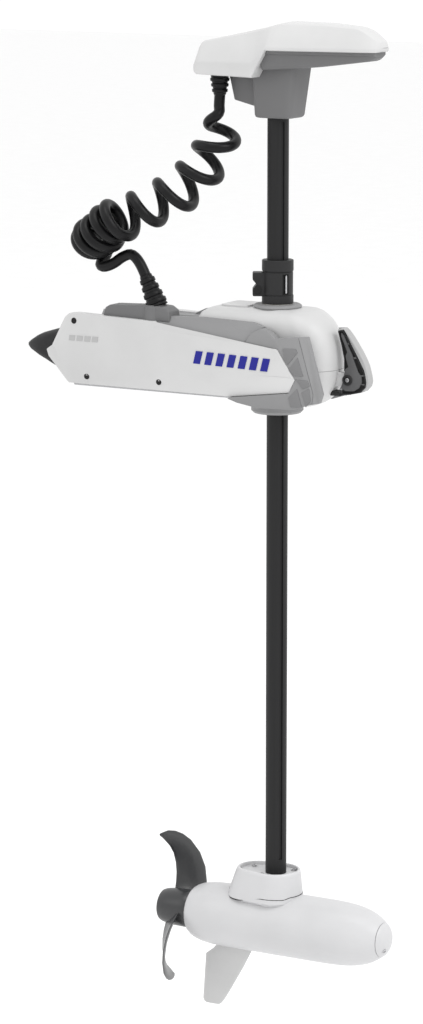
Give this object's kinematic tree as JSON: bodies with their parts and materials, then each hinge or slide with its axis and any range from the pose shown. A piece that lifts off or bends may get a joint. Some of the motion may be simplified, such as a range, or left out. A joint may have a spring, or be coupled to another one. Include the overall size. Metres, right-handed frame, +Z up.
{
  "type": "bow-mount trolling motor",
  "caption": "Bow-mount electric trolling motor with a tilting deck mount, steering housing, long shaft, control head, coiled cord and a torpedo-shaped motor pod with skeg and swept propeller.",
  "frame": {"origin": "centre of the deck bolt pattern on the underside of the mount", "axes": "+X towards the bow, the way the motor drives; +Z up along the shaft; +Y to port"},
  "size_m": [0.706, 0.2009, 1.705],
  "materials": {
    "white_shell": "satin moulded plastic",
    "white_paint": "satin powder coat on cast aluminium",
    "skeg_plastic": "matt moulded plastic",
    "grey_trim": "fine-grained moulded plastic",
    "head_grey": "fine-grained moulded plastic",
    "shaft_black": "pultruded composite, satin",
    "dark_plastic": "moulded glass-filled nylon",
    "prop_plastic": "moulded composite, satin",
    "cord_black": "smooth polyurethane jacket",
    "bumper_black": "moulded rubber",
    "chassis_metal": "die cast and anodised",
    "steel": "stainless",
    "bearing_plastic": "acetal",
    "gear_metal": "machined",
    "motor_parts": "laminated steel and windings",
    "board_green": "circuit board"
  },
  "bodies": {
    "base": {"base_chassis": "chassis_metal", "tilt_pin": "steel", "side_cover_right": "white_shell", "side_cover_left": "white_shell", "fairing_right": "grey_trim", "fairing_left": "grey_trim", "hinge_cover_right": "grey_trim", "hinge_cover_left": "grey_trim", "top_cover": "grey_trim", "gland_cover": "head_grey", "cord_gland_lower": "cord_black", "tail_bumper": "bumper_black", "supply_gland": "dark_plastic", "terminal_board": "dark_plastic", "lift_springs": "steel", "side_cover_screws": "steel", "cord_coil": "cord_black", "cord_upper_lead": "cord_black", "cord_lower_lead": "cord_black"},
    "housing": {"housing_upper": "white_shell", "housing_lower": "white_shell", "tilt_bushes": "bearing_plastic", "hub_bushes": "bearing_plastic", "top_ring": "grey_trim", "lower_cap": "grey_trim", "service_plate": "white_shell", "steering_motor": "motor_parts", "lever_bolt": "steel", "lever_spring": "steel"},
    "pinion": {"steering_pinion": "gear_metal"},
    "steer_hub": {"steering_hub": "gear_metal", "steering_gear": "gear_metal", "steering_key": "dark_plastic", "collar_halves": "dark_plastic", "collar_screw": "steel"},
    "shaft": {"shaft_tube": "shaft_black", "shaft_cable": "cord_black", "head_neck": "head_grey", "head_cover": "white_shell", "head_tray": "head_grey", "head_board": "board_green", "head_screws": "steel", "cord_gland_upper": "cord_black", "motor_housing": "white_paint", "nose_cap": "white_paint", "shaft_socket": "white_paint", "socket_screws": "steel", "skeg": "skeg_plastic", "stator": "motor_parts", "shaft_bearings": "steel", "bearing_carrier": "chassis_metal", "shaft_seal": "bumper_black", "motor_board": "board_green"},
    "propeller": {"propeller": "prop_plastic", "prop_shaft": "steel", "rotor": "motor_parts", "drive_pin": "steel", "prop_nut": "steel"},
    "release_lever": {"lever_frame": "dark_plastic", "lever_cover": "white_shell"}
  },
  "joints": [
    {"name": "tilt_stow", "type": "hinge", "parent": "base", "child": "housing", "pos_m": [0.11, 0, 0.08], "axis": [0, -1, 0], "range_deg": [0, 90], "deforming": ["cord_coil", "cord_upper_lead", "cord_lower_lead"]},
    {"name": "steer", "type": "hinge", "parent": "housing", "child": "steer_hub", "pos_m": [0.2, 0, 0], "axis": [0, 0, 1], "range_deg": [-180, 180], "deforming": ["cord_coil", "cord_upper_lead", "cord_lower_lead"]},
    {"name": "pinion_spin", "type": "hinge", "parent": "housing", "child": "pinion", "pos_m": [0.144, 0, 0.028], "axis": [0, 0, 1], "range_deg": [-450, 450]},
    {"name": "depth_slide", "type": "slide", "parent": "steer_hub", "child": "shaft", "axis": [0, 0, 1], "range_m": [-0.22, 0.7], "deforming": ["cord_coil", "cord_upper_lead", "cord_lower_lead"]},
    {"name": "prop_spin", "type": "hinge", "parent": "shaft", "child": "propeller", "pos_m": [0.1, 0, -0.916], "axis": [1, 0, 0], "continuous": true},
    {"name": "lever_pull", "type": "hinge", "parent": "housing", "child": "release_lever", "pos_m": [0.338, 0, 0.038], "axis": [0, 1, 0], "range_deg": [0, 32], "stiffness_Nm_per_rad": 0.8, "springref_deg": -11.46}
  ],
  "couplings": [
    {"joint": "pinion_spin", "follows": "steer", "ratio": -2.5}
  ]
}
